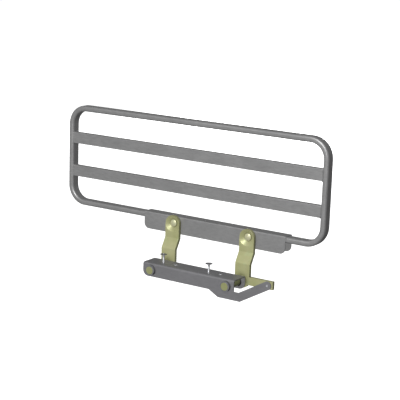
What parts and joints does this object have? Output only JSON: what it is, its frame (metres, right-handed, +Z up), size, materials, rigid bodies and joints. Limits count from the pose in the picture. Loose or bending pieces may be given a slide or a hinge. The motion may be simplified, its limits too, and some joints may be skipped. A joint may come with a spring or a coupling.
{
  "type": "drop-down bed side rail",
  "caption": "Drop-down care-bed side rail: a rounded tube frame with flat slats on a saddle channel, carried by joggled swing links on a bed bracket with a latch arm.",
  "frame": {"origin": "middle of the bracket web's top face, where the bed frame sits", "axes": "+X along the rail, +Y outboard from the bed, +Z up"},
  "size_m": [1.04, 0.1853, 0.5391],
  "materials": {
    "rail_paint": "satin grey powder coat",
    "bracket_paint": "satin dark grey powder coat",
    "yellow_zinc": "yellow chromated zinc plate",
    "olive_zinc": "olive chromated zinc plate",
    "bright_zinc": "bright zinc plate",
    "spring_steel": "blackened spring steel",
    "bush_plastic": "moulded dark grey nylon"
  },
  "bodies": {
    "base": {"base_channel": "bracket_paint", "front_bush_left": "bush_plastic", "front_bush_right": "bush_plastic", "rear_bush_left": "bush_plastic", "rear_bush_right": "bush_plastic", "latch_stud": "bright_zinc", "fixing_screws": "bright_zinc", "weld_nuts": "bright_zinc"},
    "left_arm": {"left_link": "yellow_zinc", "left_shaft": "olive_zinc", "snap_rings_left": "spring_steel"},
    "right_arm": {"right_link": "yellow_zinc", "right_shaft": "olive_zinc", "snap_rings_right": "spring_steel"},
    "rail": {"frame_tube": "rail_paint", "upper_slat": "rail_paint", "lower_slat": "rail_paint", "saddle_channel": "rail_paint", "pivot_stud_left": "yellow_zinc", "pivot_stud_right": "yellow_zinc", "pivot_washer_left": "bright_zinc", "pivot_washer_right": "bright_zinc"}
  },
  "joints": [
    {"name": "right_swing", "type": "hinge", "parent": "base", "child": "right_arm", "pos_m": [0.148, 0, -0.023], "axis": [0, -1, 0], "range_deg": [0, 180]},
    {"name": "left_swing", "type": "hinge", "parent": "base", "child": "left_arm", "pos_m": [-0.148, 0, -0.023], "axis": [0, -1, 0], "range_deg": [0, 180]},
    {"name": "rail_level", "type": "hinge", "parent": "right_arm", "child": "rail", "pos_m": [0.148, 0.09, 0.115], "axis": [0, -1, 0], "range_deg": [-180, 0]}
  ],
  "couplings": [
    {"joint": "left_swing", "follows": "right_swing", "ratio": 1},
    {"joint": "rail_level", "follows": "right_swing", "ratio": -1}
  ]
}
